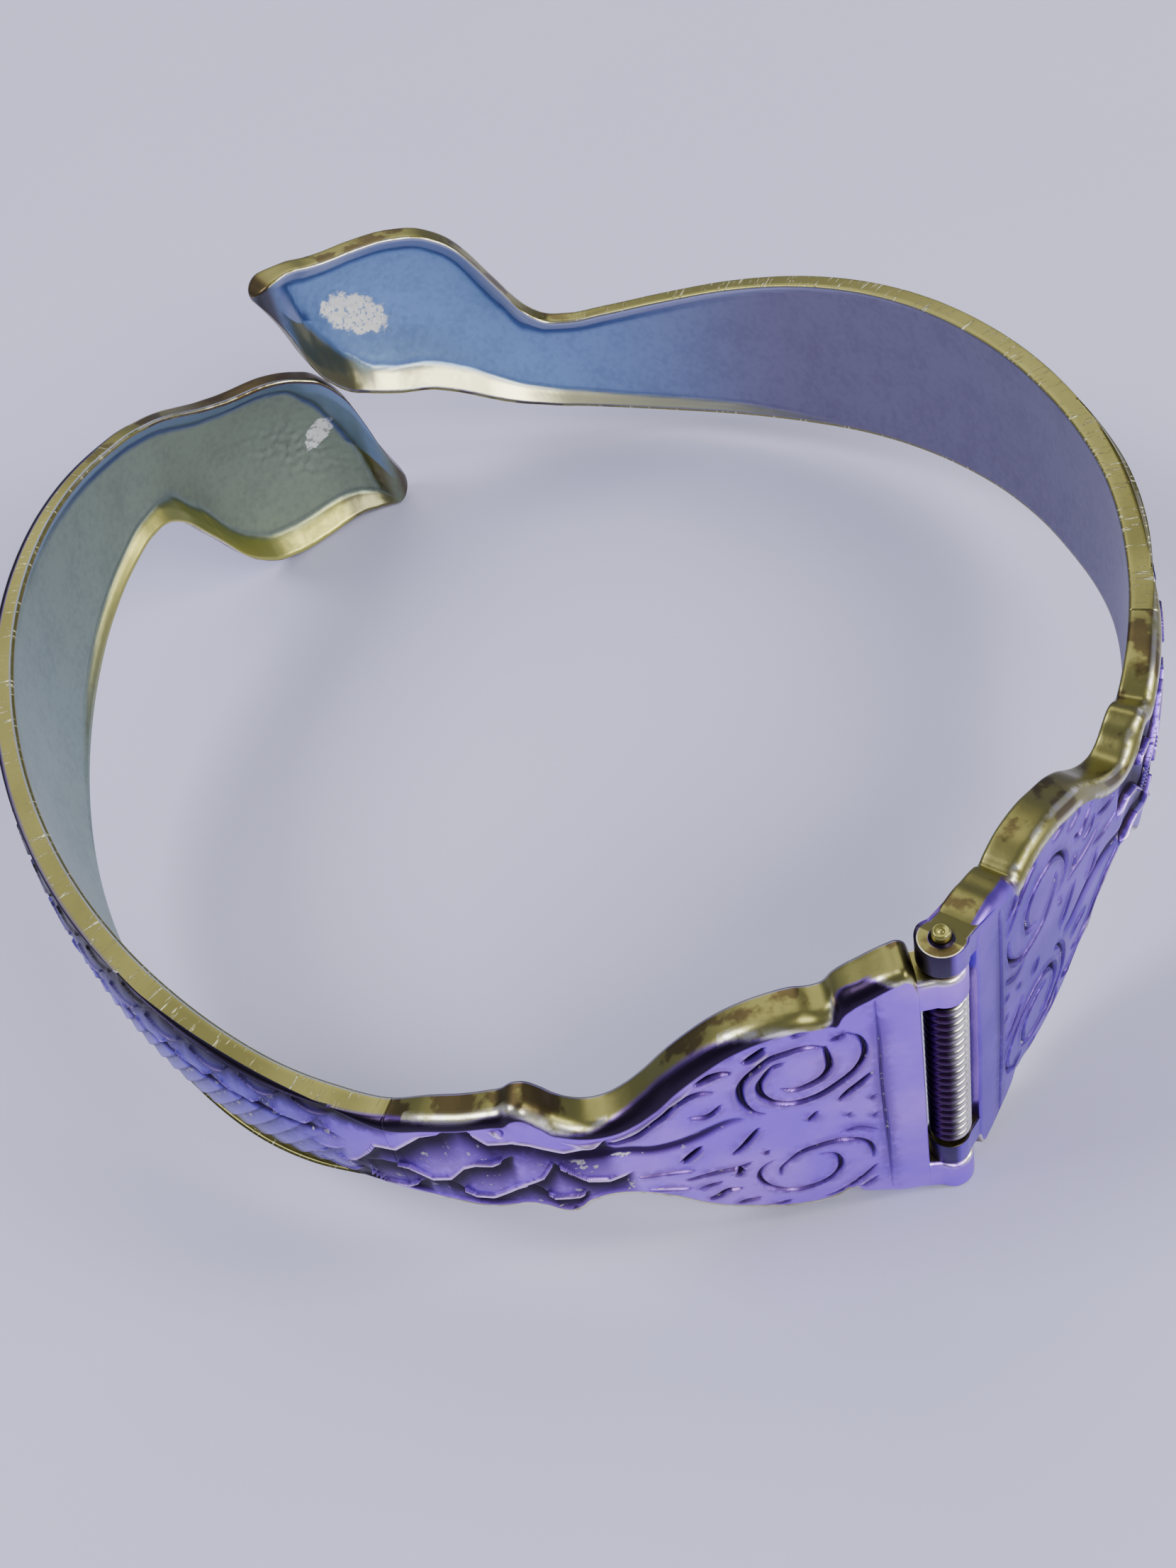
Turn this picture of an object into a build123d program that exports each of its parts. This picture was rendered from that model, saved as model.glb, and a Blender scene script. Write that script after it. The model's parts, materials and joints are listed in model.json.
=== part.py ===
from build123d import *
import os

# Hinged clamper bracelet lying on its side. The wrist runs along Z, the hinge
# pin stands at -Y and the two serpent heads pass each other at +Y. Both arms
# are one casting: the left arm is the right arm turned over about the Y axis.

# Ring seen along the wrist, measured at the middle of the wall
pin_to_centre = 32.3
plate_angle = 23.6
plate_length = 15.8
bend_radius = 17.8
bend_angle = 18.8
side_radius = 32.75
side_angle = 93.9
crown_radius = 28.2

# Lengths along one arm
plate_start = 1.2
terminal_length = 25.5
head_length = 18.8
nose_overlap = 3.1

# Heights along the wrist
terminal_half_height = 9.25
terminal_lift = 1.3
band_half_height = 5.7
neck_sway = 3.6
head_height = 9.8

# Walls: thickness, outward crown and inner dish
terminal_wall = 2.0
terminal_crown = 0.2
terminal_dish = 0.45
band_wall = 1.3
band_crown = 0.55
band_dish = 0.45
head_wall = 1.3
head_crown = 2.5
head_dish = 2.4
nose_wall = 2.2

# Hinge
pin_radius = 0.45
pin_clearance = 0.05
peen_radius = 0.75
peen_height = 0.3
ear_radius = 1.2
ear_thickness = 1.65
ear_gap = 0.1
ear_clearance = 0.3
spring_space = 13.1
spring_length = 12.0
spring_turns = 20
spring_radius = 0.95
wire_radius = 0.2

# Cast relief on each hinge plate
groove_place = 3.15
groove_width = 0.4
groove_depth = 0.15
scroll_place = 6.9
scroll_spread = 8.6
scroll_radius = 2.5
scroll_step = 0.5
scroll_line = 0.45
scroll_relief = 0.3

# Outline of the terminal from the slot to the filed band: distance from the pin
# and half height as shares of the terminal, centre as a share of its lift
terminal_rows = [
    (0.133, 0.962, 0.31),
    (0.169, 0.924, 0.35),
    (0.194, 0.865, 0.54),
    (0.235, 0.874, 0.52),
    (0.302, 0.870, 0.65),
    (0.376, 0.811, 0.77),
    (0.455, 0.681, 0.92),
    (0.518, 0.517, 1.02),
    (0.573, 0.392, 0.98),
    (0.635, 0.362, 0.88),
    (0.682, 0.441, 0.95),
    (0.725, 0.524, 0.58),
    (0.757, 0.497, 0.38),
    (0.780, 0.459, 0.38),
    (0.808, 0.465, 0.62),
    (0.863, 0.454, 0.85),
    (0.925, 0.414, 0.91),
    (0.980, 0.385, 1.00),
]

# Outline of the band: distance along it, half height, centre (share of the sway)
band_rows = [
    (0.000, 0.58, 0.39),
    (0.053, 0.61, 0.40),
    (0.124, 0.70, 0.44),
    (0.204, 0.80, 0.35),
    (0.275, 0.84, 0.28),
    (0.381, 0.90, 0.15),
    (0.505, 0.96, -0.08),
    (0.621, 1.00, -0.33),
    (0.718, 0.96, -0.58),
    (0.807, 0.87, -0.79),
    (0.895, 0.76, -0.96),
    (0.966, 0.66, -0.99),
]

# Outline of the head: distance along it, lower edge, upper edge (shares of its
# height), and how much of the head's dome the wall has there
head_rows = [
    (0.000, -0.720, 0.030, 0.10),
    (0.080, -0.670, 0.090, 0.20),
    (0.140, -0.640, 0.220, 0.34),
    (0.210, -0.600, 0.450, 0.55),
    (0.300, -0.530, 0.745, 0.82),
    (0.430, -0.385, 0.900, 1.00),
    (0.580, -0.260, 0.955, 1.00),
    (0.690, -0.175, 0.965, 0.92),
    (0.770, -0.080, 0.970, 0.80),
    (0.825, 0.010, 0.985, 0.66),
    (0.867, 0.140, 1.000, 0.48),
    (0.904, 0.330, 1.010, 0.30),
]

# The nose beyond the dished part: distance along the head, lower and upper edge
nose_rows = [
    (0.940, 0.600, 1.020),
    (0.973, 0.770, 1.020),
    (1.000, 0.850, 1.000),
]

pin_y = -pin_to_centre
lower_ear = spring_space / 2 + ear_gap / 2
upper_ear = lower_ear + ear_thickness + ear_gap
ear_top = upper_ear + ear_thickness

# Middle line of the right arm: flat hinge plate, bend, side and crown
plate_direction = Vector(1, 0, 0).rotate(Axis.Z, plate_angle)
plate_outward = Vector(0, -1, 0).rotate(Axis.Z, plate_angle)
with BuildLine() as middle_line:
    plate = Line((0, pin_y), Vector(0, pin_y) + plate_direction * plate_length)
    bend = JernArc(plate @ 1, plate % 1, bend_radius, bend_angle)
    side = JernArc(bend @ 1, bend % 1, side_radius, side_angle)
    crown = JernArc(side @ 1, side % 1, crown_radius, Axis.Y)
    JernArc(crown @ 1, crown % 1, crown_radius, 4 * nose_overlap)
path = middle_line.wire()
crossing = plate.length + bend.length + side.length + crown.length
nose_end = crossing + nose_overlap
head_start = nose_end - head_length
band_length = head_start - terminal_length


def wall_section(along, low, high, wall, crown_rise, dish):
    """Return the arm's wall, crowned outside and dished inside, cut across its path."""
    point = path.position_at(along, PositionMode.LENGTH)
    heading = path.tangent_at(along, PositionMode.LENGTH)
    outward = heading.cross(Vector(0, 0, 1))
    middle = (low + high) / 2
    with BuildSketch(Plane(origin=point, x_dir=outward, z_dir=-heading)) as section:
        with BuildLine():
            ThreePointArc(
                (wall / 2, low), (wall / 2 + crown_rise, middle), (wall / 2, high)
            )
            Line((wall / 2, high), (-wall / 2, high))
            ThreePointArc(
                (-wall / 2, high), (-wall / 2 + dish, middle), (-wall / 2, low)
            )
            Line((-wall / 2, low), (wall / 2, low))
        make_face()
    return section.sketch


def blend(start, end, share):
    """Return the value that lies at share of the way from start to end."""
    return start + (end - start) * share


# Terminal: thick hinge plate, leaf, waist, bump and bud
sections = [
    wall_section(
        plate_start,
        -terminal_half_height,
        terminal_half_height,
        terminal_wall,
        terminal_crown,
        terminal_dish,
    )
]
for along, half, lift in terminal_rows:
    centre = terminal_lift * lift
    height = terminal_half_height * half
    sections.append(
        wall_section(
            terminal_length * along,
            centre - height,
            centre + height,
            blend(terminal_wall, band_wall, max(0, along - 0.5)),
            terminal_crown,
            terminal_dish,
        )
    )
# Band: plain and crowned, swaying down to the neck
for along, half, sway in band_rows:
    centre = neck_sway * sway
    height = band_half_height * half
    sections.append(
        wall_section(
            terminal_length + band_length * along,
            centre - height,
            centre + height,
            band_wall,
            band_crown,
            band_dish,
        )
    )
# Head: domed outside and hollow inside, closed by a solid nose
for along, low, high, dome in head_rows:
    sections.append(
        wall_section(
            head_start + head_length * along,
            head_height * low,
            head_height * high,
            head_wall,
            blend(band_crown, head_crown, dome),
            blend(band_dish, head_dish, dome),
        )
    )
for along, low, high in nose_rows:
    sections.append(
        wall_section(
            head_start + head_length * along,
            head_height * low,
            head_height * high,
            nose_wall,
            band_crown,
            terminal_dish / 4,
        )
    )

with BuildPart() as right_arm:
    loft(sections, ruled=True)

    # Two hinge ears on the pin, with webs as thick as the plate back to it
    for bottom in (upper_ear, -lower_ear - ear_thickness):
        with BuildSketch(Plane.XY.offset(bottom)):
            with Locations((0, pin_y)):
                Circle(ear_radius)
            with Locations(Location((0, pin_y, 0), (0, 0, plate_angle))):
                Rectangle(
                    2 * plate_start, terminal_wall, align=(Align.MIN, Align.CENTER)
                )
        extrude(amount=ear_thickness)

    # Room for the other arm's two ears
    room = ear_thickness + 2 * ear_gap
    for bottom in (lower_ear - ear_gap, -upper_ear - ear_thickness - ear_gap):
        with BuildSketch(Plane.XY.offset(bottom)):
            with Locations((0, pin_y)):
                Circle(ear_radius + ear_clearance)
        extrude(amount=room, mode=Mode.SUBTRACT)

    # Bore for the pin
    with BuildSketch(Plane.XY):
        with Locations((0, pin_y)):
            Circle(pin_radius + pin_clearance)
    extrude(amount=2 * ear_top, both=True, mode=Mode.SUBTRACT)

    # Upright groove that sets off the plain strip beside the slot
    groove_floor = Plane(
        origin=Vector(0, pin_y)
        + plate_direction * groove_place
        + plate_outward * (terminal_wall / 2 - groove_depth),
        x_dir=plate_direction,
        z_dir=plate_outward,
    )
    with BuildSketch(groove_floor):
        Rectangle(groove_width, 2 * ear_top)
    extrude(amount=terminal_wall, mode=Mode.SUBTRACT)

    # A pair of spiral scrolls raised on the plate
    scroll_floor = Plane(
        origin=Vector(0, pin_y)
        + plate_direction * scroll_place
        + plate_outward * (terminal_wall / 2 - scroll_relief),
        x_dir=plate_direction,
        z_dir=plate_outward,
    )
    for up in (1, -1):
        with BuildSketch(scroll_floor):
            with BuildLine():
                start = -scroll_radius
                radius = scroll_radius
                turn = 1
                while radius > scroll_step / 2:
                    centre_z = up * scroll_spread / 2
                    end = start + 2 * turn * radius
                    ThreePointArc(
                        (start, centre_z),
                        ((start + end) / 2, centre_z + up * turn * radius),
                        (end, centre_z),
                    )
                    start = end
                    radius -= scroll_step
                    turn = -turn
            trace(line_width=scroll_line)
        extrude(amount=2 * scroll_relief + terminal_crown)

with BuildPart() as left_arm:
    add(right_arm.part.rotate(Axis.Y, 180))

with BuildPart() as hinge_pin:
    with BuildSketch(Plane.XZ.offset(pin_to_centre)):
        with BuildLine():
            shoulder = ear_top + ear_gap / 2
            tip = shoulder + peen_height
            Line((0, -tip), (0, tip))
            Line((0, tip), (pin_radius, tip))
            ThreePointArc(
                (pin_radius, tip),
                (blend(pin_radius, peen_radius, 0.8), shoulder + peen_height * 0.7),
                (peen_radius, shoulder),
            )
            Line((peen_radius, shoulder), (pin_radius, shoulder))
            Line((pin_radius, shoulder), (pin_radius, -shoulder))
            Line((pin_radius, -shoulder), (peen_radius, -shoulder))
            ThreePointArc(
                (peen_radius, -shoulder),
                (blend(pin_radius, peen_radius, 0.8), -shoulder - peen_height * 0.7),
                (pin_radius, -tip),
            )
            Line((pin_radius, -tip), (0, -tip))
        make_face()
    revolve(axis=Axis((0, pin_y, 0), (0, 0, 1)))

# Close-wound coil, drawn as one sleeve with a ridge for each turn
pitch = spring_length / spring_turns
coil_radius = spring_radius - wire_radius
bore_radius = coil_radius - wire_radius
with BuildPart() as hinge_spring:
    with BuildSketch(Plane.XZ.offset(pin_to_centre)):
        with BuildLine():
            half = spring_length / 2
            for turn in range(spring_turns):
                low = -half + turn * pitch
                ThreePointArc(
                    (coil_radius, low),
                    (spring_radius, low + pitch / 2),
                    (coil_radius, low + pitch),
                )
            Line((coil_radius, half), (bore_radius, half))
            Line((bore_radius, half), (bore_radius, -half))
            Line((bore_radius, -half), (coil_radius, -half))
        make_face()
    revolve(axis=Axis((0, pin_y, 0), (0, 0, 1)))

os.makedirs("parts", exist_ok=True)
left_arm.part.label = "left_arm"
right_arm.part.label = "right_arm"
hinge_pin.part.label = "hinge_pin"
hinge_spring.part.label = "hinge_spring"
export_step(left_arm.part, "parts/left_arm.step")
export_step(right_arm.part, "parts/right_arm.step")
export_step(hinge_pin.part, "parts/hinge_pin.step")
export_step(hinge_spring.part, "parts/hinge_spring.step")
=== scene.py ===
import json
import math

import bmesh
import bpy
import numpy as np
from mathutils import Matrix, Vector


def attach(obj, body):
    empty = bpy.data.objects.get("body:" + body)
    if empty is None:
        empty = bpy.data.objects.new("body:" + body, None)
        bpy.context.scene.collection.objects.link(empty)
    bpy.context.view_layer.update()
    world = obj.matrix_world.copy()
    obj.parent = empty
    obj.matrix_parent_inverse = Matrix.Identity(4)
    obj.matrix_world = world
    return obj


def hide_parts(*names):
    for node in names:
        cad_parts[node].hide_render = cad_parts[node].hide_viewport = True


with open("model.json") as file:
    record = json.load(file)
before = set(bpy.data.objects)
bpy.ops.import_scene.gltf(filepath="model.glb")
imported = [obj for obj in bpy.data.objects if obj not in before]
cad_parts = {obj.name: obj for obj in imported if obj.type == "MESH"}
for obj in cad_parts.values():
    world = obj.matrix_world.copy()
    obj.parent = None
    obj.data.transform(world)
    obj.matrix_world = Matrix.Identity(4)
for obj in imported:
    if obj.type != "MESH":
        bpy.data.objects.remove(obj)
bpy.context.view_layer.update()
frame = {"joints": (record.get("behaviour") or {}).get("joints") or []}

mm = 0.001
hinge = frame["joints"][0]
pinY = hinge["pos_m"][1] / mm
print("frame loaded")

# The bracelet lies on its side. Both arms are one casting, drawn flat as length along the
# arm, height along the wrist and depth through the wall, and then bent round the ring.
# All lengths of the casting are in millimetres until the bend is made.

ring = {
    "plateAngle": 23.6,  # degrees
    "plateLength": 15.8,
    "arcs": ((17.8, 18.8), (32.75, 93.9), (28.2, 47.0)),  # radius, degrees of turn
    "plateStart": 1.2,
    "terminalEnd": 25.5,
    "noseEnd": 99.9,
}

# distance from the pin, lower edge, upper edge of the right arm
outline = (
    (1.2, -8.55, 9.4), (1.4, -8.95, 9.45), (1.6, -9.12, 9.49), (2.2, -9.04, 9.5), (2.8, -8.8, 9.42),
    (3.4, -8.5, 9.2), (4.1, -8.15, 9.0), (4.55, -7.8, 8.8), (4.9, -7.35, 8.5), (5.4, -7.2, 8.75),
    (6.3, -7.35, 9.05), (7.4, -7.25, 9.05), (8.6, -6.95, 8.8), (9.8, -6.4, 8.3), (11.0, -5.55, 7.75),
    (12.2, -4.5, 6.9), (13.3, -3.35, 5.85), (14.2, -2.6, 5.1), (15.2, -2.1, 4.5), (16.0, -2.1, 4.3),
    (16.8, -2.45, 4.65), (17.4, -2.95, 5.2), (17.95, -3.65, 5.45), (18.5, -4.15, 5.3), (19.2, -4.15, 4.8),
    (19.75, -3.75, 4.55), (20.3, -3.6, 4.75), (21.6, -3.2, 5.1), (23.6, -2.65, 5.0), (25.5, -1.9, 4.75),
    (28.5, -2.05, 4.7),
    (31.6, -2.35, 5.2), (35.0, -3.0, 5.6), (38.5, -3.65, 5.65), (42.5, -4.1, 5.65), (46.5, -4.65, 5.6),
    (50.0, -5.2, 5.45), (54.5, -5.9, 5.15), (59.5, -6.65, 4.55), (64.0, -7.3, 3.75), (69.0, -7.75, 2.6),
    (74.0, -7.85, 1.3), (78.0, -7.55, 0.45), (80.6, -7.15, 0.15), (82.3, -6.85, 0.55), (83.4, -6.55, 1.6),
    (84.7, -6.15, 3.8), (86.7, -5.2, 7.1), (88.4, -4.15, 8.5), (90.6, -2.95, 9.2), (93.2, -2.1, 9.4),
    (95.2, -1.05, 9.45), (96.4, -0.25, 9.65), (97.2, 0.75, 9.9), (97.8, 1.9, 9.98), (98.3, 3.6, 10.0),
    (98.8, 5.9, 10.0), (99.4, 7.6, 9.95), (99.9, 8.4, 9.85),
)

# how much wider the left head is than the right one: distance from the pin, lower edge, upper edge
leftHead = (
    (85.5, 0.0, 0.0), (87.0, -0.05, 0.35), (89.3, -0.5, 0.8), (91.0, -0.9, 0.95), (93.0, -1.1, 0.95),
    (95.2, -1.3, 0.7), (96.8, -1.2, 0.4), (97.6, -0.95, 0.35), (98.2, -0.55, 0.35), (99.3, -0.5, 0.3),
    (99.9, -0.3, 0.2),
)

# painted dark reflection: how much of the lower shoulder is black, as a share of its turn, and how far
# the black runs on over the outer face: distance from the pin, share, millimetres
darkness = (
    (1.2, 0.0, 0.0), (2.2, 0.10, 0.0), (2.9, 0.85, 0.1), (4.5, 0.95, 0.1), (5.0, 0.30, 0.0), (7.6, 0.25, 0.0),
    (9.2, 0.70, 0.1), (12.5, 0.90, 0.7), (15.0, 0.85, 0.4), (16.6, 0.40, 0.0), (18.6, 0.35, 0.0),
    (19.6, 0.75, 0.1), (21.2, 0.60, 0.2), (24.0, 0.70, 0.3), (25.4, 1.0, 1.0), (28.0, 1.0, 1.4),
    (32.0, 1.0, 2.2), (37.0, 1.0, 3.6), (46.0, 1.0, 4.4), (80.0, 1.0, 2.4), (86.0, 0.5, 0.0),
)

# distance from the pin, wall, outward crown, inner bevel's width and depth, inner dish,
# outer shoulder's radius
section = (
    (1.2, 2.0, 0.05, 0.0, 0.0, 0.20, 0.45), (4.0, 2.0, 0.10, 0.0, 0.0, 0.30, 0.62),
    (10.0, 2.0, 0.16, 0.0, 0.0, 0.40, 0.70), (15.0, 1.95, 0.18, 0.0, 0.0, 0.35, 0.65),
    (20.0, 1.75, 0.20, 0.0, 0.0, 0.35, 0.60), (25.5, 1.55, 0.26, 0.0, 0.0, 0.35, 0.50),
    (27.5, 1.34, 0.40, 0.0, 0.0, 0.35, 0.12), (45.0, 1.32, 0.50, 0.10, 0.02, 0.35, 0.12),
    (60.0, 1.30, 0.50, 0.40, 0.14, 0.30, 0.18), (70.0, 1.30, 0.60, 0.85, 0.42, 0.25, 0.35),
    (80.0, 1.30, 0.70, 1.05, 0.66, 0.22, 0.45), (84.0, 1.30, 1.10, 1.20, 0.95, 0.35, 0.45),
    (87.5, 1.35, 2.30, 1.40, 1.35, 0.75, 0.45), (92.5, 1.40, 2.75, 1.45, 1.50, 0.90, 0.45),
    (96.3, 1.50, 2.05, 1.35, 1.25, 0.60, 0.45), (97.8, 1.70, 1.10, 1.10, 0.80, 0.25, 0.50),
    (98.8, 2.05, 0.50, 0.60, 0.10, 0.05, 0.55), (99.9, 2.1, 0.20, 0.50, 0.0, 0.0, 0.55),
)


def smoothRows(rows, s):  # a soft curve through each column of a table, as the tables give it
    rows = np.array(rows)
    at, values = rows[:, 0], rows[:, 1:]
    slopes = np.zeros_like(values)
    steps = np.diff(at)[:, None]
    rises = np.diff(values, axis=0) / steps
    slopes[1:-1] = (rises[:-1] * steps[1:] + rises[1:] * steps[:-1]) / (steps[1:] + steps[:-1])
    slopes[0], slopes[-1] = rises[0], rises[-1]
    i = np.clip(np.searchsorted(at, s, side="right") - 1, 0, len(at) - 2)
    span = at[i + 1] - at[i]
    q = ((np.clip(s, at[0], at[-1]) - at[i]) / span)[..., None]
    span = span[..., None]
    start, end = values[i], values[i + 1]
    return (
        (2 * q**3 - 3 * q**2 + 1) * start + (q**3 - 2 * q**2 + q) * span * slopes[i]
        + (3 * q**2 - 2 * q**3) * end + (q**3 - q**2) * span * slopes[i + 1]
    )


def bendRound(flat):  # columns: along the arm, through the wall, up the wrist
    s, n, z = flat[:, 0], flat[:, 1], flat[:, 2]
    heading = math.radians(ring["plateAngle"])
    x, y = s * math.cos(heading), pinY + s * math.sin(heading)
    angle = np.full(len(s), heading)
    passed = ring["plateLength"]
    startX, startY = passed * math.cos(heading), pinY + passed * math.sin(heading)
    for radius, turn in ring["arcs"]:
        here = heading + (s - passed) / radius
        beyond = s > passed
        x = np.where(beyond, startX + radius * (np.sin(here) - math.sin(heading)), x)
        y = np.where(beyond, startY - radius * (np.cos(here) - math.cos(heading)), y)
        angle = np.where(beyond, here, angle)
        nextHeading = heading + math.radians(turn)
        startX += radius * (math.sin(nextHeading) - math.sin(heading))
        startY -= radius * (math.cos(nextHeading) - math.cos(heading))
        passed += radius * math.radians(turn)
        heading = nextHeading
    return np.stack((x + n * np.sin(angle), y - n * np.cos(angle), z), axis=1) * mm


def curveThrough(points, step=0.12):  # even points on a soft curve through a few chosen ones
    points = np.array(points, float)
    if len(points) == 2:
        count = max(2, int(np.linalg.norm(points[1] - points[0]) / step))
        return points[0] + (points[1] - points[0]) * np.linspace(0, 1, count)[:, None]
    padded = np.vstack((2 * points[0] - points[1], points, 2 * points[-1] - points[-2]))
    run = []
    for a, b, c, d in zip(padded[:-3], padded[1:-2], padded[2:-1], padded[3:]):
        q = np.linspace(0, 1, max(2, int(np.linalg.norm(c - b) / step)), endpoint=False)[:, None]
        run.append(0.5 * (2 * b + (c - a) * q + (2 * a - 5 * b + 4 * c - d) * q**2
                          + (3 * b - a - 3 * c + d) * q**3))
    run.append(points[-1:])
    return np.vstack(run)


# Cast ornament on the outer face, as the left arm shows it. Every line has its width, its depth
# or height, and its points as distance from the pin and height.
grooves = (
    (0.10, 0.16, ((3.1, 9.0), (3.05, 5.0), (3.1, 1.0), (3.05, -4.0), (3.05, -8.9))),
    # upper scroll
    (0.15, 0.30, ((5.4, 5.1), (6.1, 5.5), (7.0, 5.4), (7.8, 5.2), (8.3, 4.7), (8.8, 4.2), (9.2, 3.5),
     (9.3, 2.7), (9.2, 1.9), (8.9, 1.2), (8.4, 0.8))),
    (0.15, 0.34, ((4.3, 5.8), (3.9, 5.4), (3.7, 4.6), (3.8, 3.8), (4.2, 3.0), (4.9, 2.3), (5.7, 1.7),
     (6.5, 1.4), (7.3, 1.4), (8.0, 1.8), (8.4, 2.5), (8.4, 3.3), (8.1, 3.9), (7.7, 4.5), (7.2, 4.6))),
    (0.15, 0.32, ((5.4, 5.2), (5.3, 4.4), (5.3, 3.6), (5.6, 3.0), (6.2, 2.6), (6.9, 2.4), (7.5, 2.6))),
    (0.11, 0.20, ((5.2, 5.6), (4.7, 5.8), (4.3, 5.9))),
    (0.16, 0.34, ((3.5, 2.4), (4.1, 1.8), (4.6, 1.3), (5.1, 0.6))),
    (0.13, 0.26, ((6.1, 0.1), (6.4, -0.3), (6.6, -0.6))),
    # lower scroll
    (0.14, 0.28, ((6.3, -3.8), (5.7, -4.0), (5.4, -4.6), (5.4, -5.4), (5.7, -6.0), (6.3, -6.5), (7.0, -6.7),
     (7.7, -6.7), (8.3, -6.4), (8.9, -5.8), (9.2, -5.0), (9.1, -4.3), (8.8, -3.8), (8.4, -3.5))),
    (0.14, 0.28, ((8.2, -5.2), (8.1, -4.4), (7.6, -3.7), (7.0, -3.1), (6.4, -2.9), (5.8, -2.8), (5.2, -2.8),
     (4.5, -3.1), (4.0, -3.7), (3.8, -4.5), (3.8, -5.3))),
    (0.15, 0.32, ((3.7, -6.0), (4.3, -6.8), (4.9, -7.4), (5.6, -7.9), (6.4, -8.2))),
    (0.10, 0.14, ((5.2, -2.2), (4.6, -2.0), (4.1, -2.2), (3.5, -2.7))),
    (0.13, 0.24, ((3.7, -7.2), (4.6, -8.0))),
    (0.10, 0.16, ((3.4, 0.5), (3.8, 0.2))),
    (0.10, 0.16, ((3.4, -1.1), (3.8, -1.4))),
    (0.10, 0.14, ((4.6, -0.6), (4.9, -0.9))),
    # commas between the scrolls and the edge
    (0.17, 0.34, ((5.6, 7.0), (6.2, 6.8), (6.7, 6.4))),
    (0.18, 0.36, ((7.9, 6.0), (8.3, 5.7), (8.9, 5.2))),
    (0.14, 0.28, ((8.8, 6.6), (9.3, 6.3), (10.0, 5.6))),
    (0.12, 0.26, ((7.1, 7.0), (7.7, 6.9), (8.3, 6.7))),
    (0.17, 0.34, ((9.5, 4.6), (9.9, 4.8), (10.4, 4.7), (11.1, 4.2))),
    (0.15, 0.30, ((10.4, 3.4), (11.0, 3.6), (11.6, 3.4), (12.2, 3.0), (12.7, 2.4), (13.3, 1.9), (14.1, 1.2),
     (14.7, 1.0), (15.4, 0.8))),
    (0.13, 0.26, ((10.2, 2.3), (10.7, 1.8), (11.1, 1.7), (11.7, 1.8))),
    # leaves under the stem
    (0.15, 0.32, ((8.8, -0.3), (9.2, -0.9), (9.6, -1.5), (10.2, -2.2))),
    (0.19, 0.36, ((11.5, -0.9), (12.0, -1.4), (12.5, -2.0))),
    (0.13, 0.26, ((9.4, -3.2), (10.0, -3.4), (10.8, -3.4), (11.7, -3.5), (12.6, -3.7))),
    (0.16, 0.28, ((10.0, -3.5), (10.0, -4.0), (10.4, -4.2))),
    (0.13, 0.24, ((8.5, -2.5), (8.9, -2.6))),
    (0.18, 0.34, ((10.1, -5.6), (10.7, -5.4), (11.2, -5.8), (11.8, -6.1))),
    (0.12, 0.22, ((10.9, -4.5), (11.6, -4.6), (12.1, -5.0))),
    (0.14, 0.24, ((9.3, -6.9), (10.0, -6.9), (10.7, -7.2))),
    (0.14, 0.24, ((7.9, -7.8), (8.7, -7.9), (9.4, -7.9))),
    (0.13, 0.22, ((12.4, -4.6), (13.4, -4.2), (14.4, -4.0))),
    (0.12, 0.20, ((12.0, -2.9), (13.2, -2.6), (14.6, -2.5))),
    (0.12, 0.20, ((12.9, -5.2), (13.8, -4.9), (14.6, -4.7))),
    # cuts that part the bud from the bump
    (0.15, 0.34, ((20.5, 4.6), (20.2, 4.1), (19.9, 3.5), (19.7, 2.6))),
    (0.13, 0.26, ((19.8, 3.8), (19.3, 4.0), (18.7, 4.0), (18.1, 3.6))),
)
# wide hollow beside the leaf's stem
hollows = (
    (0.46, 0.22, ((9.4, 0.7), (10.0, 0.7), (10.7, 0.4), (11.5, 0.0), (12.4, -0.3), (13.6, -0.4),
     (14.8, 0.0), (16.0, 0.2), (17.0, 0.3))),
)
# raised lines: the leaf's border and the curled tip of the bud
ribs = (
    (0.16, 0.12, ((11.2, 4.2), (12.7, 2.9), (14.1, 1.7), (15.4, 1.2), (16.5, 1.2), (17.3, 1.7))),
    (0.30, 0.22, ((23.0, 2.9), (22.0, 3.4), (21.3, 3.6), (20.6, 3.4), (20.1, 3.0), (19.8, 2.4))),
)

# pointed crests of the scales beside the waist, as the left arm shows them
crests = (
    ((15.2, 1.6), (16.2, 1.1), (17.4, 1.0), (18.7, 1.9), (19.4, 2.1), (20.5, 1.9), (21.3, 2.9), (21.8, 3.3),
     (22.7, 2.2), (23.6, 1.8), (25.1, 0.2), (26.2, 0.1), (26.6, -0.6), (27.6, -1.8), (28.7, -2.6)),
    ((19.3, 1.1), (20.6, 0.0), (21.4, -0.1), (22.0, -0.5), (22.9, -1.8), (23.9, -2.2), (24.9, -1.4),
     (26.2, -1.4), (27.7, -2.2)),
    ((14.6, -1.6), (15.9, -2.1), (16.8, -1.8), (17.5, -0.8), (18.0, 0.0), (18.6, -1.2), (19.5, -1.8),
     (20.3, -2.5), (21.2, -3.3), (22.1, -3.4), (23.0, -2.5), (23.9, -2.2)),
    ((16.6, -2.7), (17.4, -3.3), (18.5, -3.3), (19.0, -2.3), (19.5, -1.9), (20.0, -2.2), (20.8, -2.9)),
    ((23.9, -2.3), (24.8, -3.0), (25.5, -3.7), (26.8, -4.0), (27.6, -3.0), (28.7, -3.2)),
    ((16.0, -4.2), (16.8, -4.3), (17.8, -4.4), (18.5, -5.2)),
    ((20.6, -5.2), (21.4, -5.0), (22.4, -4.5), (23.4, -4.5), (24.2, -4.8)),
)

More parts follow.
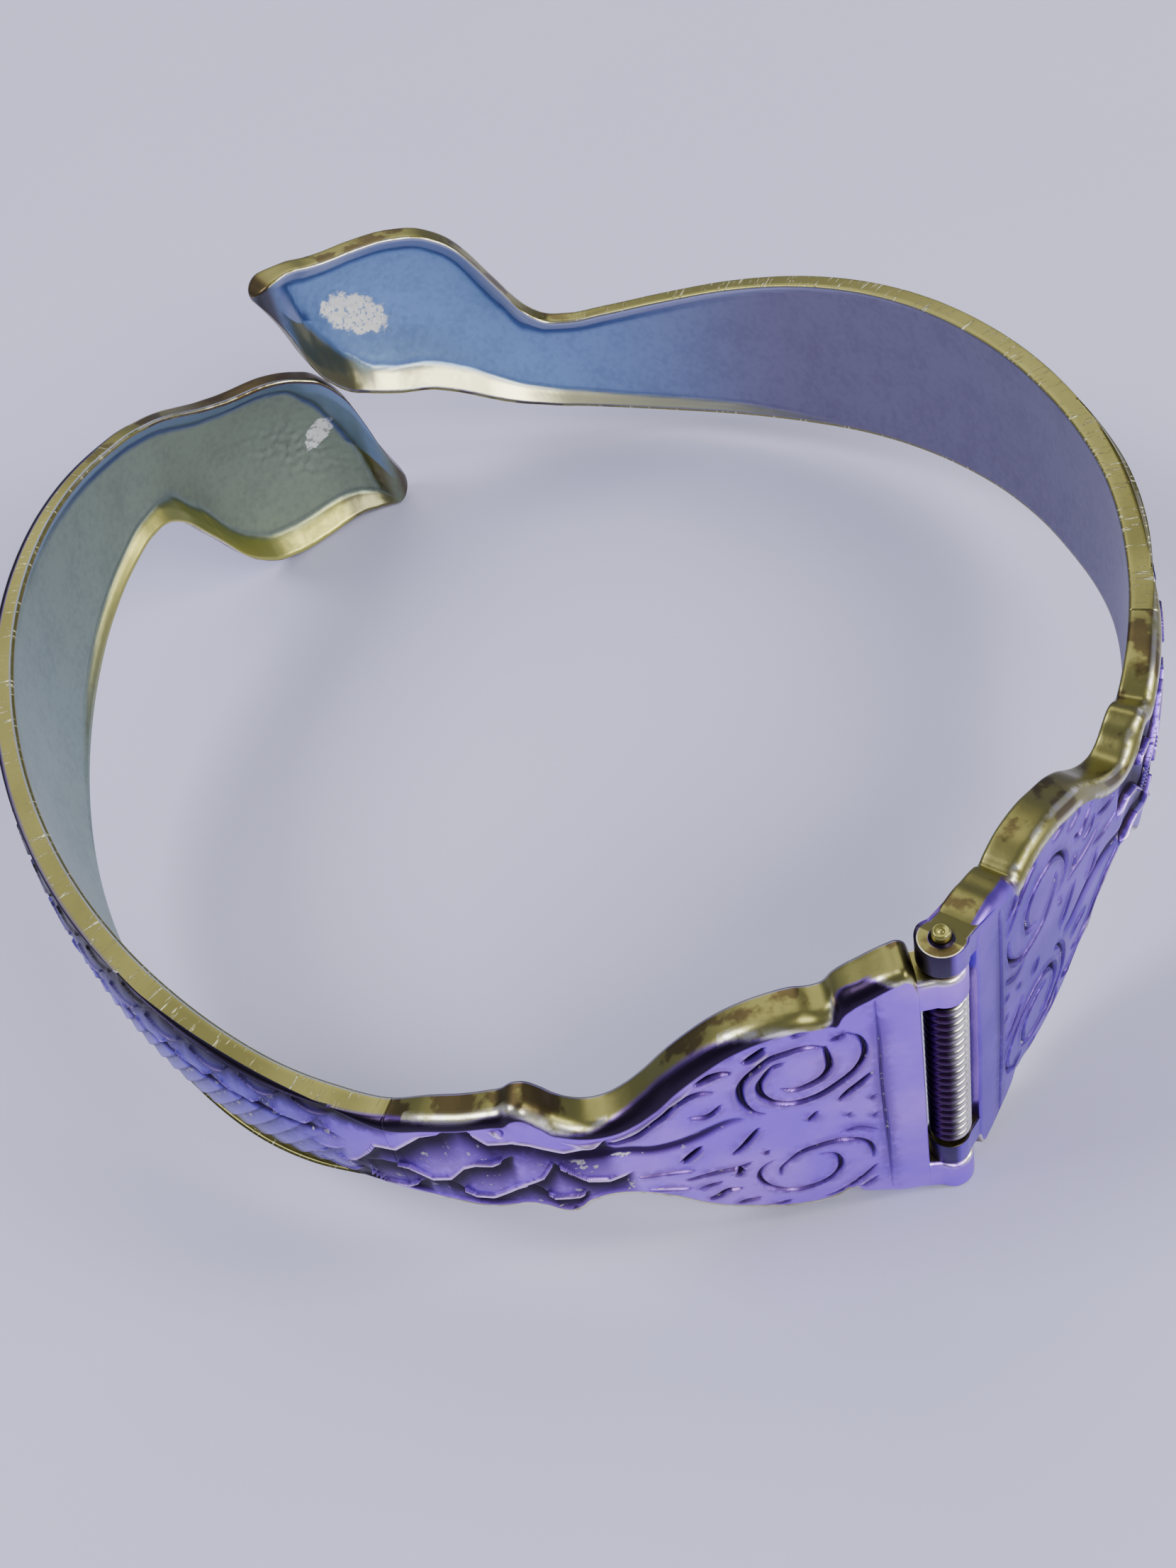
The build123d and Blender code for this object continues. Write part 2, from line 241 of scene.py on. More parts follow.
scales = {
    "run": (27.6, 28.8, 78.0, 84.0),  # even scales fade in past the drawn crests, and out at the head
    "length": 3.0,
    "rowHeight": 1.35,
    "rows": 8,  # on each side of the middle one
    "tip": 21.6,  # distance from the pin of one crest's point
    "wave": 1.1,  # how far the pointed crests reach up
    "bend": 0.8,
    "middle": 0.35,  # how far the even scales lie above the band's middle line
    "sink": 0.4,
    "depth": 0.32,
    "fall": 0.75,  # how far below a crest its hollow runs out
    "longFall": 1.6,  # and how far below a drawn one
    "furthest": 4,
    "lip": (0.05, 0.22),  # how far below a crest its hollow starts and is full
    "ridge": 0.12,
    "ridgeWidth": 0.15,
    "ends": (0.1, 0.7),  # a drawn crest fades over these lengths past and before its ends
    "evenShare": 0.6,  # how bold the even scales are beside the drawn ones
    "belly": 29.0,  # from here the lower side has slanting belly plates
    "bellyEdge": (-0.1, 0.25),
    "plates": (1.15, 0.9, 0.16, 0.14, 0.6),  # length, lean, rise, cut's share of the length, level
    "parting": (0.9, 0.2, 0.16),  # line between scales and plates: height, width, depth
}
cutting = {
    "taper": 0.45,
    "width": (0.48, 0.40),  # shares of a cut's width at its ends, and added halfway
    "depth": (0.35, 0.65),
    "burr": 0.22,  # metal pushed up beside a cut, as a share of its depth
    "burrPlace": 2.0,
    "edge": 0.4,  # all relief runs out this close to the arm's edges
}
lowShade = {  # painted shade: how black the low places are
    "hollows": 0.9,
    "hollowBend": 0.6,
    "plates": 0.85,
    "plateWidth": 0.16,
    "cuts": 0.6,
    "cutWidth": 0.5,
}


def step01(low, high, value):
    q = np.clip((value - low) / (high - low), 0, 1)
    return q * q * (3 - 2 * q)


def between(run, value):  # rises between the first two places and falls between the last two
    return step01(run[0], run[1], value) * (1 - step01(run[2], run[3], value))


def bell(gap, width):
    return np.exp(-((gap / width) ** 2))


def lineDistance(s, z, run):  # how far each point lies from a line, and how far along the line that is
    reach = 1.6
    far = 9.0
    near = np.full(len(s), far)
    share = np.full(len(s), 0.5)
    low, high = run.min(axis=0) - reach, run.max(axis=0) + reach
    inside = np.where((s > low[0]) & (s < high[0]) & (z > low[1]) & (z < high[1]))[0]
    best = near[inside]
    where = share[inside]
    for i, ((s0, z0), (s1, z1)) in enumerate(zip(run[:-1], run[1:])):
        ds, dz = s1 - s0, z1 - z0
        part = np.clip(((s[inside] - s0) * ds + (z[inside] - z0) * dz) / (ds * ds + dz * dz + 1e-9), 0, 1)
        gap = np.hypot(s[inside] - s0 - part * ds, z[inside] - z0 - part * dz)
        where = np.where(gap < best, (i + part) / (len(run) - 1), where)
        best = np.minimum(best, gap)
    near[inside] = best
    share[inside] = where
    return near, share


def underCrest(gap, fall):  # a thin bright edge with a hollow under it that fades out
    under = np.clip(-gap, 0, scales["furthest"])
    hollow = scales["depth"] * np.exp(-under / fall) * step01(*scales["lip"], under)
    return scales["ridge"] * bell(gap, scales["ridgeWidth"]) - hollow


def drawnScales(s, leftZ):
    drawn = np.zeros(len(s))
    past, before = scales["ends"]
    for points in crests:
        points = np.array(points)
        gap = leftZ - np.interp(s, points[:, 0], points[:, 1])
        first, last = points[0, 0], points[-1, 0]
        ends = between((first - past, first + before, last - before, last + past), s)
        here = underCrest(gap, scales["longFall"]) * ends
        drawn = np.where(np.abs(here) > np.abs(drawn), here, drawn)
    return drawn


def evenScales(s, tileZ):
    even = np.zeros(len(s))
    for k in range(-scales["rows"], scales["rows"] + 1):
        phase = (s - scales["tip"]) / scales["length"] + 0.5 * k
        rise = 1 - np.abs(np.sin(math.pi * phase)) ** scales["bend"]
        crest = k * scales["rowHeight"] + scales["wave"] * rise - scales["sink"]
        here = scales["evenShare"] * underCrest(tileZ - crest, scales["fall"])
        even = np.where(np.abs(here) > np.abs(even), here, even)
    return even


def castRelief(s, z, low, high):  # height of the ornament over the outer face, and the painted shade in and round it
    leftZ = -z
    tileZ = leftZ + smoothRows(outline, s).sum(axis=1) / 2 - scales["middle"]  # even scales follow the band
    onBand = between(scales["run"], s)
    # a parting sets the even scales off from the belly plates
    start = scales["belly"]
    parting, partingWidth, partingDepth = scales["parting"]
    belly = step01(start - 1, start + 3, s) * step01(*scales["bellyEdge"], parting - tileZ)
    length, lean, rise, cut, level = scales["plates"]
    slant = ((s + lean * leftZ) / length) % 1.0
    plates = rise * ((1 - slant) * step01(0, cut, slant) - level)
    even = evenScales(s, tileZ) * (1 - belly) + plates * belly
    height = drawnScales(s, leftZ) * (1 - onBand) + even * onBand
    # painted shade in the hollows under the crests and along the belly plates' cuts
    shadeInLows = np.clip(-height / scales["depth"], 0, 1) ** lowShade["hollowBend"] * lowShade["hollows"]
    plateCuts = lowShade["plates"] * bell(slant, lowShade["plateWidth"])
    shadeInLows = np.maximum(shadeInLows, plateCuts * belly * onBand)
    height -= partingDepth * (bell(tileZ - parting, partingWidth) * step01(start - 2, start + 2, s) * onBand)
    # chosen lines, each cut deepest halfway
    for lines, sign in ((grooves, -1), (hollows, -1), (ribs, 1)):
        for width, depth, points in lines:
            gap, share = lineDistance(s, leftZ, curveThrough(points))
            taper = np.clip(4 * share * (1 - share), 0, 1) ** cutting["taper"]
            wide = width * (cutting["width"][0] + cutting["width"][1] * taper)
            height += sign * depth * (cutting["depth"][0] + cutting["depth"][1] * taper) * bell(gap, wide)
            if lines is grooves:
                height += cutting["burr"] * depth * taper * bell(gap - cutting["burrPlace"] * wide, wide)
                # painted shade round each cut
                shadeInLows = np.maximum(shadeInLows, lowShade["cuts"] * taper * bell(gap, lowShade["cutWidth"]))
    return height * step01(0.0, cutting["edge"], np.minimum(high - z, z - low)), shadeInLows


serpent = {
    "eye": (92.6, 2.15, 0.85, 0.434),  # along the arm, off the head's middle line, radius, height
    "socket": (1.18, 0.16, 0.22),  # radius and width as shares of the eye's radius, depth
    "brow": (0.5, 1.15, 1.9, 0.42, 0.30),  # behind the eye, inside it in eye radii, length, width, height
    "nostril": (98.0, 0.85, 0.30, 0.30),  # along the arm, off the middle line, size, depth
    "mouth": (1.25, 0.16, 0.18),  # how far the mouth line lies inside the edge, width, depth
    "mouthRun": (88.5, 90.5, 97.5, 98.5),
    "crown": (0.5, 0.22),  # ridge along the middle line: width, height
    "crownRun": (90, 93, 96.5, 98.5),
}


def headRelief(s, z, low, high):  # plain serpent's face on the outer side of the dome
    off = z - (low + high) / 2
    height = np.zeros(len(s))
    along, aside, radius, rise = serpent["eye"]
    socket, socketWidth, socketDepth = serpent["socket"]
    behind, inward, browLong, browWide, browRise = serpent["brow"]
    nose, apart, size, deep = serpent["nostril"]
    for way in (-1, 1):
        gap = np.hypot(s - along, off - way * aside) / radius
        height += rise * np.sqrt(np.clip(1 - gap**2, 0, 1))
        height -= socketDepth * bell(gap - socket, socketWidth)
        browGap = np.hypot((s - along + behind) / browLong, off - way * (aside - inward * radius))
        height += browRise * bell(browGap, browWide)
        height -= deep * bell(np.hypot(s - nose, off - way * apart), size)
    inset, mouthWidth, mouthDepth = serpent["mouth"]
    edge = np.minimum(high - z, z - low)
    height -= mouthDepth * bell(edge - inset, mouthWidth) * between(serpent["mouthRun"], s)
    crownWidth, crownRise = serpent["crown"]
    return height + crownRise * bell(off, crownWidth) * between(serpent["crownRun"], s)


# what the finish reads at every point of the casting
marks = ("along", "through", "upright", "carved", "rim", "paintedHighlight", "shoulder", "shade", "inside",
         "bevel", "crease")

casting = {
    "outerShare": {"terminal": 0.60, "band": 0.47},
    "shoulderRows": 9,
    "rimRows": 6,
    "cornerRows": 5,
    "around": {"terminal": 296, "band": 190},
    "along": {"terminal": 288, "band": 500},
    "innerCorner": 0.22,
    "endRound": 0.16,  # at the hinge
    "noseRound": 1.15,
    "noseOn": {"right": 0.5, "left": 0.15},  # how far each nose runs on
    "noseOnFrom": 96.5,
}
form = {
    "step": 0.05,  # how far off the slant of an edge is measured
    "steepest": 2.5,  # a shoulder grows with the slant up to this
    "shoulderMost": (0.3, 0.75),  # share of the height, of the wall
    "cornerMost": 0.2,
    "leastBevel": 0.02,
    "leastDish": 0.3,
    "fullBevel": 0.4,  # depth of a bevel that shows its crease in full
    "noseWider": (0.9, 94.0, 96.5),  # share that the lower bevel gains, between these distances
    "crease": (0.10, 0.14),  # height and width
    "patch": ((97.9, 4.2), (89.9, 1.9)),  # rough spot, place and half size along either slant
    "pits": (0.004, 0.030),  # depth everywhere, and added in the rough spot
    "pitPitch": (2.6, 2.4, 1.3),  # along, up, stirred
    "pitWaves": ((2.3, 1.7, 0.4), (1.1, -2.9, 1.9), (3.6, 2.7, 2.6), (-2.2, 3.9, 4.4)),
    "pitsFrom": (86, 89),
    "bandEnds": (83, 86),  # the band's relief runs out, and the face begins
    "faceFrom": (85.5, 88),
    "reliefEdge": (-0.02, 0.3),
}
edging = {  # tones across a shoulder or corner, as shares of its turn: painted black, painted highlight lines and brass
    "cornerRim": 0.7,  # so much of the corner belongs to the rim
    "blackFade": (0.18, 0.10),  # before and past the black's share
    "blackLine": (0.12, 0.16),  # painted highlight line beyond the black: how far, how wide
    "brassFrom": (4.2, 5.2),  # distances from the pin
    "brassTo": (24.0, 26.0),
    "streaks": ((0.12, 0.10), (0.72, 0.09)),  # two painted highlight streaks: place and width
}


def edgesOf(side, s):  # lower and upper edge of an arm
    rows = smoothRows(outline, s)
    return (rows + smoothRows(leftHead, s) if side == "left" else rows).T


def aroundTheWall(piece):  # stretches of the section: outer face, shoulder, rim, corner, inner face and back
    total = casting["around"][piece]
    outer = int(total * casting["outerShare"][piece])
    shoulder, rim, corner = (casting[k] for k in ("shoulderRows", "rimRows", "cornerRows"))
    inner = total - outer - 2 * (shoulder + rim + corner)
    kinds, shares = [], []
    for kind, count in (("outer", outer), ("shoulderTop", shoulder), ("rimTop", rim), ("cornerTop", corner),
                        ("inner", inner), ("cornerLow", corner), ("rimLow", rim), ("shoulderLow", shoulder)):
        kinds += [kind] * count
        shares += [i / count for i in range(count)]
    kinds.append("outer")
    shares.append(0.0)
    return np.array(kinds), np.array(shares)


def wallPoints(piece, side, s, j, draw):  # flat place of every vertex, and what the finish needs there
    kinds, shares = aroundTheWall(piece)
    kind, q = kinds[j], shares[j]
    low, high = edgesOf(side, s)
    wall, crown, bevel, bevelDepth, dish, shoulder = smoothRows(section, s).T
    step = form["step"]
    leanLow, leanHigh = np.sqrt(1 + ((edgesOf(side, s + step) - edgesOf(side, s - step)) / (2 * step)) ** 2)
    tall = high - low
    middle = (low + high) / 2
    ofTall, ofWall = form["shoulderMost"]
    roundLow, roundTop = (np.minimum(shoulder * np.minimum(lean, form["steepest"]), ofTall * tall)
                          for lean in (leanLow, leanHigh))
    corner = np.minimum(casting["innerCorner"], form["cornerMost"] * tall)
    bevelWide = np.maximum(bevel, form["leastBevel"])
    bold = np.clip(bevelDepth / form["fullBevel"], 0, 1)

    def outerDepth(z):
        share = np.clip((z - middle) / (tall / 2), -1, 1)
        return wall / 2 + crown * (1 - share**2)

    def edgeGap(z):  # measured against the bevel, which is broad along the nose's slanting edge
        wider, first, last = form["noseWider"]
        return np.minimum((high - z) / leanHigh, (z - low) / leanLow / (1 + wider * step01(first, last, s)))

    def innerDepth(z):
        gap = edgeGap(z)
        dished = np.maximum(tall / 2 - bevel, form["leastDish"])
        floor = np.clip(1 - ((z - middle) / dished) ** 2, 0, 1)
        slope = np.clip(gap / bevelWide, 0, 1) * bevelDepth
        crease = form["crease"][0] * bell(gap - bevel, form["crease"][1]) * bold
        (rising, long), (falling, wide) = form["patch"]
        spot = bell(s + z - rising, long) * bell(s - z - falling, wide)
        rough = form["pits"][0] + form["pits"][1] * spot
        along, up, stir = form["pitPitch"]
        pits = np.zeros(len(z))
        for a, b, c in form["pitWaves"]:
            pits += np.sin(a * s * along + b * z * up + c + stir * np.sin(b * s - a * z))
        return -wall / 2 + slope + dish * floor + crease + pits * rough * step01(*form["pitsFrom"], s)

    n, z = np.zeros(len(s)), np.zeros(len(s))
    at = kind == "outer"
    z[at] = (low + roundLow + (tall - roundLow - roundTop) * q)[at]
    face = outerDepth(z)
    relief, shadeInLows = castRelief(s[at], z[at], low[at], high[at])
    relief *= 1 - step01(*form["bandEnds"], s[at])
    relief += headRelief(s[at], z[at], low[at], high[at]) * step01(*form["faceFrom"], s[at])
    edge = np.minimum(high[at] - z[at] - roundTop[at], z[at] - low[at] - roundLow[at])
    relief *= step01(*form["reliefEdge"], edge)
    n[at] = face[at] + relief
    carved = np.zeros(len(s))
    carved[at] = relief
    for name, end, size, sign in (("Top", high, roundTop, 1), ("Low", low, roundLow, -1)):
        deep = np.minimum(size, ofWall * wall)
        turn = q if sign > 0 else 1 - q
        at = kind == "shoulder" + name
        startZ = end - sign * size
        foot = outerDepth(startZ) - deep
        n[at] = (foot + deep * np.cos(turn * math.pi / 2))[at]
        z[at] = (startZ + sign * size * np.sin(turn * math.pi / 2))[at]
        at = kind == "rim" + name
        inEdge = innerDepth(end - sign * corner) + corner
        n[at] = (foot + (inEdge - foot) * turn)[at]
        z[at] = end[at]
        at = kind == "corner" + name
        n[at] = (inEdge - corner * np.sin(turn * math.pi / 2))[at]
        z[at] = (end - sign * corner * (1 - np.cos(turn * math.pi / 2)))[at]
    at = kind == "inner"
    z[at] = (high - corner - (tall - 2 * corner) * q)[at]
    n[at] = innerDepth(z)[at]
    # rounded ends draw the whole section in
    core = (outerDepth(middle) + innerDepth(middle)) / 2
    n = core + (n - core) * draw
    z = middle + (z - middle) * (0.5 + 0.5 * draw if piece == "terminal" else draw)
    atCorner = np.char.startswith(kind, "corner")
    rim = (np.char.startswith(kind, "rim") | (atCorner & (q < edging["cornerRim"]))).astype(float)
    # a painted highlight line along the corner towards the head
    paintedHighlight = np.where(atCorner & (np.abs(q - 0.5) < 0.25), 0.8 * step01(74, 84, s), 0.0)
    dark, runsOn = smoothRows(darkness, s).T
    shade = np.zeros(len(s))
    shoulderDark = np.zeros(len(s))
    at = kind == "shoulderLow"  # painted black, a dark reflection, beside the outer face, brassy towards the rim
    turn = 1 - q
    before, past = edging["blackFade"]
    shoulderDark[at] = (1 - step01(dark - before, dark + past, turn))[at]
    rim[at] = 1 - shoulderDark[at]
    # a painted highlight line just beyond the black
    beyond, wide = edging["blackLine"]
    paintedHighlight[at] = (bell(turn - dark - beyond, wide) * (dark < 0.8))[at]
    at = kind == "shoulderTop"  # brassy with two painted highlight streaks, plain beside the hinge
    brassy = step01(*edging["brassFrom"], s)
    if side == "left":  # there it is the hidden lower edge of the band
        brassy *= 1 - step01(*edging["brassTo"], s)
    rim[at] = np.maximum(brassy, step01(0.9, 1.0, q))[at]
    streaks = sum(bell(q - place, wide) for place, wide in edging["streaks"])
    paintedHighlight[at] = np.where(q > 0.92, 0.9, np.clip(streaks, 0, 1) * brassy)[at]
    at = kind == "outer"
    # painted shade: black runs on over the face from the edge, and lies in the hollows and round the cuts
    nearEdge = 1 - step01(0.1, 1.0, np.minimum(high - z, z - low) / (runsOn + 0.3))
    shade[at] = np.maximum((nearEdge * step01(0.05, 0.4, runsOn))[at], shadeInLows)
    inside = (kind == "inner") | (atCorner & (q >= edging["cornerRim"]))
    gap = edgeGap(z)
    # the bevels take a painted reflection: bright where they lie lower in the world and face the overhead
    # light, darker and bluer above; the crease is painted shade, weaker on the lower side
    worldLower = (z < middle) if side == "right" else (z > middle)
    strong = bold * inside
    onBevel = strong * (1 - step01(0.8, 1.0, gap / bevelWide)) * np.where(worldLower, 1.0, -1.0)
    crease = strong * bell(gap - bevel - 0.08, 0.20) * np.where(worldLower, 0.25, 1.0)
    return n, z, (carved, rim, paintedHighlight, shoulderDark, shade, inside.astype(float), onBevel, crease)


def stationsOf(piece):  # where the rows lie along the arm, closer together at a rounded end
    count = casting["along"][piece]
    if piece == "terminal":
        first, last, size = ring["plateStart"], ring["terminalEnd"], casting["endRound"]
        turn = np.linspace(0, math.pi / 2, 6)
        start = first + size * (1 - np.cos(turn))
        draw = 1 - 0.14 * (1 - np.sin(turn))
        rest = np.linspace(first + size, last, count - 4)[1:]
        return np.concatenate((start, rest)), np.concatenate((draw, np.ones(len(rest))))
    first, last, size = ring["terminalEnd"] - 0.02, ring["noseEnd"], casting["noseRound"]
    turn = np.linspace(math.pi / 2, 0.02, 18)
    end = last - size + size * np.cos(turn)
    ending = np.sin(turn)
    rest = np.linspace(first, last - size, count - 16)[:-1]
    return np.concatenate((rest, end)), np.concatenate((np.ones(len(rest)), ending))


def meshFrom(bm, name):
    mesh = bpy.data.meshes.new(name)
    bm.to_mesh(mesh)
    bm.free()
    return mesh


def placed(name, data):
    made = bpy.data.objects.new(name, data)
    bpy.context.scene.collection.objects.link(made)
    return made


def castPiece(piece, side):
    stations, draws = stationsOf(piece)
    around = casting["around"][piece]
    bm = bmesh.new()
    bmesh.ops.create_grid(bm, x_segments=len(stations) - 1, y_segments=around, size=0.5)
    mesh = meshFrom(bm, side + piece.capitalize())
    place = np.zeros(len(mesh.vertices) * 3)
    mesh.vertices.foreach_get("co", place)
    place = place.reshape(-1, 3)
    i = np.rint((place[:, 0] + 0.5) * (len(stations) - 1)).astype(int)
    j = np.rint((place[:, 1] + 0.5) * around).astype(int) % around
    s, draw = stations[i], draws[i]
    n, z, facts = wallPoints(piece, side, s, j, draw)
    s = s + casting["noseOn"][side] * step01(casting["noseOnFrom"], ring["noseEnd"], s)
    flat = np.stack((s, n, z), axis=1)
    mesh.vertices.foreach_set("co", bendRound(flat).astype(np.float32).ravel())
    for name, values in zip(marks, (s, n, z) + facts):
        mesh.attributes.new(name, "FLOAT", "POINT").data.foreach_set("value", values.astype(np.float32))
    bm = bmesh.new()
    bm.from_mesh(mesh)
    bmesh.ops.remove_doubles(bm, verts=bm.verts, dist=0.0015 * mm)
    openEdges = [e for e in bm.edges if e.is_boundary]
    caps = bmesh.ops.holes_fill(bm, edges=openEdges, sides=0)["faces"]
    caps = bmesh.ops.triangulate(bm, faces=caps, ngon_method="BEAUTY")["faces"]
    bmesh.ops.recalc_face_normals(bm, faces=bm.faces)
    for face in bm.faces:
        face.smooth = True
    for face in caps:
        face.smooth = False
    bm.to_mesh(mesh)
    bm.free()
    print(side, piece, "cast with", len(mesh.polygons), "faces")
    return mesh


def addPiece(name, mesh, body, material, turned=False):
    if turned:
        mesh.transform(Matrix.Rotation(math.pi, 4, "Y"))
    mesh.materials.append(material)
    made = placed(name, mesh)
    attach(made, body)
    return made


ear = {
    "bore": 0.44,
    "mouth": 0.53,  # the hole widens at the two faces
    "plate": 0.96,  # half the width of the stem, just inside the plate's faces
    "reach": 3.0,
    "segments": 96,
    "rings": 14,
    "leastSoft": 0.12,
    "wear": (0.4, 0.5),  # from the middle to where the outer side and the end are fully worn
    "facing": (0.05, 0.3),
    "flat": (0.72, 0.2),
    # bottom, top, how far each falls for every millimetre towards the plate, how softly its edge
    # is rounded, a painted highlight line's place and width on that edge, the knuckle's radius, and
    # how dark the painted shade is on the side towards the other arm
    "right": (
        (8.55, 9.95, (0.35, 0.2), (0.14, 0.60), (0.95, 0.12), 1.12, 0.97),
        (-7.65, -6.05, (0.0, -0.4), (0.15, 0.20), (0.5, 0.3), 1.0, 0.9),
    ),
    "left": (  # before the arm is turned over
        (7.7, 9.35, (0.25, 0.12), (0.28, 0.35), (0.45, 0.5), 1.12, 0.0),
        (-8.15, -6.6, (0.0, -0.4), (0.30, 0.20), (0.45, 0.5), 1.07, 0.0),
    ),
}


def share01(value):
    return min(1.0, max(0.0, value))


def seatOnPin(bm, name, aside=0.0):  # a mesh in its place, from what is drawn round the pin
    bmesh.ops.translate(bm, verts=bm.verts, vec=(aside, pinY, 0))
    bmesh.ops.scale(bm, verts=bm.verts, vec=(mm, mm, mm))
    for face in bm.faces:
        face.smooth = True
    return meshFrom(bm, name)


def earReach(angle, radius):  # a disc round the pin that runs into a stem of even width
    forward, aside = math.cos(angle), abs(math.sin(angle))
    if forward < 0.01:
        return radius
    return max(radius, min(ear["plate"] / max(aside, 1e-6), ear["reach"] / forward))


def castEar(shape):  # knuckle round the pin, running back into the plate
    bottom, top, falls, softness, line, radius, dark = shape
    segments = ear["segments"]
    lean = math.radians(ring["plateAngle"])
    bm = bmesh.new()
    bmesh.ops.create_circle(bm, cap_ends=False, radius=ear["bore"], segments=segments)
    outer = bmesh.ops.create_circle(bm, cap_ends=False, radius=radius, segments=segments)["verts"]
    for vert in outer:
        angle = math.atan2(vert.co.y, vert.co.x)
        vert.co = Vector((math.cos(angle), math.sin(angle), 0)) * earReach(angle, radius)
    rays = bmesh.ops.bridge_loops(bm, edges=bm.edges[:])["edges"]
    bmesh.ops.subdivide_edges(bm, edges=rays, cuts=ear["rings"], use_grid_fill=True)
    bmesh.ops.recalc_face_normals(bm, faces=bm.faces)
    raised = bmesh.ops.extrude_face_region(bm, geom=bm.faces[:])["geom"]
    raised = set(g for g in raised if isinstance(g, bmesh.types.BMVert))
    bmesh.ops.translate(bm, verts=list(raised), vec=(0, 0, top - bottom))
    bmesh.ops.recalc_face_normals(bm, faces=bm.faces)
    layers = {name: bm.verts.layers.float.new(name) for name in marks}
    for vert in bm.verts:
        x, y = vert.co.x, vert.co.y
        distance = math.hypot(x, y)
        above = vert in raised
        atMouth = distance < ear["mouth"] + 0.02
        width = max(ear["plate"], math.sqrt(max(0.0, radius**2 - x * x)))
        margin = max(0.0, width - abs(y) if x > 0 else radius - distance)
        # the outer side and the knuckle's end are worn rounder than the side towards the wrist
        worn = max(share01(-y / ear["wear"][0]), share01(-x / ear["wear"][1]))
        soft = ear["leastSoft"] + (softness[above] - ear["leastSoft"]) * worn
        inset = max(0.0, soft - margin)
        drop = soft - math.sqrt(soft * soft - inset * inset)
        if distance < ear["mouth"]:
            drop += ear["mouth"] - distance
        # painted shade on the side towards the other arm, and a painted highlight line near the edge
        facing = (y * math.sin(lean) - x * math.cos(lean)) / max(distance, 1e-6)
        side = share01((facing - ear["facing"][0]) / ear["facing"][1]) * dark
        where, wide = line[0] * soft, line[1] * soft
        flat = 0.0 if atMouth else share01((margin / soft - ear["flat"][0]) / ear["flat"][1])
        bright = math.exp(-((margin - where) / wide) ** 2)
        # flat top brassy; painted black as shade in the hole's mouth and on the side towards the other arm
        vert[layers["rim"]] = flat
        vert[layers["paintedHighlight"]] = bright if 0.03 < margin < 2 * soft else 0.0
        vert[layers["shoulder"]] = 1.0 if atMouth else side * (1 - flat)
        vert[layers["along"]] = max(0.0, x)
        vert.co.z += -drop if above else drop
        vert[layers["upright"]] = vert.co.z + bottom
        vert.co.z -= falls[above] * max(0.0, x)
    bmesh.ops.translate(bm, verts=bm.verts, vec=(0, 0, bottom))
    bmesh.ops.rotate(bm, verts=bm.verts, cent=(0, 0, 0), matrix=Matrix.Rotation(lean, 3, "Z"))
    mesh = seatOnPin(bm, "ear")
    mesh.set_sharp_from_angle(angle=math.radians(40))
    return mesh


wire = {
    "radius": 0.262,
    "coilRadius": 0.738,
    "aside": 0.07,  # it hangs a little off the pin's middle
    "turns": 20,
    "low": -5.95,
    "high": 5.95,
    "stepsPerTurn": 30,
    "sides": 12,
}


def windSpring():
    bm = bmesh.new()
    rod = bmesh.ops.create_circle(bm, cap_ends=True, radius=wire["radius"], segments=wire["sides"])["verts"]
    bmesh.ops.rotate(bm, verts=rod, cent=(0, 0, 0), matrix=Matrix.Rotation(math.pi / 2, 3, "X"))
    bmesh.ops.translate(bm, verts=rod, vec=(wire["coilRadius"], 0, wire["low"] + wire["radius"]))
    climb = (wire["high"] - wire["low"] - 2 * wire["radius"]) / (wire["turns"] * wire["stepsPerTurn"])
    bmesh.ops.spin(bm, geom=bm.verts[:] + bm.edges[:] + bm.faces[:], cent=(0, 0, 0), axis=(0, 0, 1),
                   dvec=(0, 0, climb), angle=2 * math.pi * wire["turns"],
                   steps=wire["turns"] * wire["stepsPerTurn"], use_merge=False)
    bmesh.ops.recalc_face_normals(bm, faces=bm.faces)
    return seatOnPin(bm, "spring", wire["aside"])


pin = {
    "radius": 0.38,
    "head": 0.41,
    "upper": (9.8, 10.5),  # foot and tip of the hammered head
    "lower": (-9.3, -9.66),
    # half a head from its middle: share of the radius, and how far below the tip
    "profile": ((0, 0.03), (0.28, 0.05), (0.48, 0.15), (0.68, 0.01), (0.85, 0.04), (1.0, 0.16)),
    "neck": 0.04,
    "hammered": 9.31,  # beyond this, up or down, the head is uneven
    "uneven": 0.06,
}


def turnPin():
    bm = bmesh.new()
    side = []
    for foot, tip in (pin["upper"], pin["lower"]):
        way = 1 if tip > foot else -1
        side.append([(r * pin["head"], tip - sunk * way) for r, sunk in pin["profile"]]
                    + [(pin["head"], foot), (pin["radius"], foot - pin["neck"] * way)])
    outlinePoints = side[0] + side[1][::-1]
    verts = [bm.verts.new((r, 0, h)) for r, h in outlinePoints]
    edges = [bm.edges.new(pair) for pair in zip(verts[:-1], verts[1:])]
    bmesh.ops.spin(bm, geom=verts + edges, cent=(0, 0, 0), axis=(0, 0, 1), angle=2 * math.pi, steps=48,
                   use_merge=True)
    bmesh.ops.remove_doubles(bm, verts=bm.verts, dist=1e-4)
    bmesh.ops.recalc_face_normals(bm, faces=bm.faces)
    for vert in bm.verts:  # hammered, not turned: the heads are a little uneven
        distance = vert.co.to_2d().length
        if abs(vert.co.z) > pin["hammered"] and distance > 0.01:
            angle = math.atan2(vert.co.y, vert.co.x)
            uneven = pin["uneven"] * (1 + math.sin(2 * angle + 0.7)) * distance
            vert.co.z -= math.copysign(uneven, vert.co.z)
    return seatOnPin(bm, "pin")


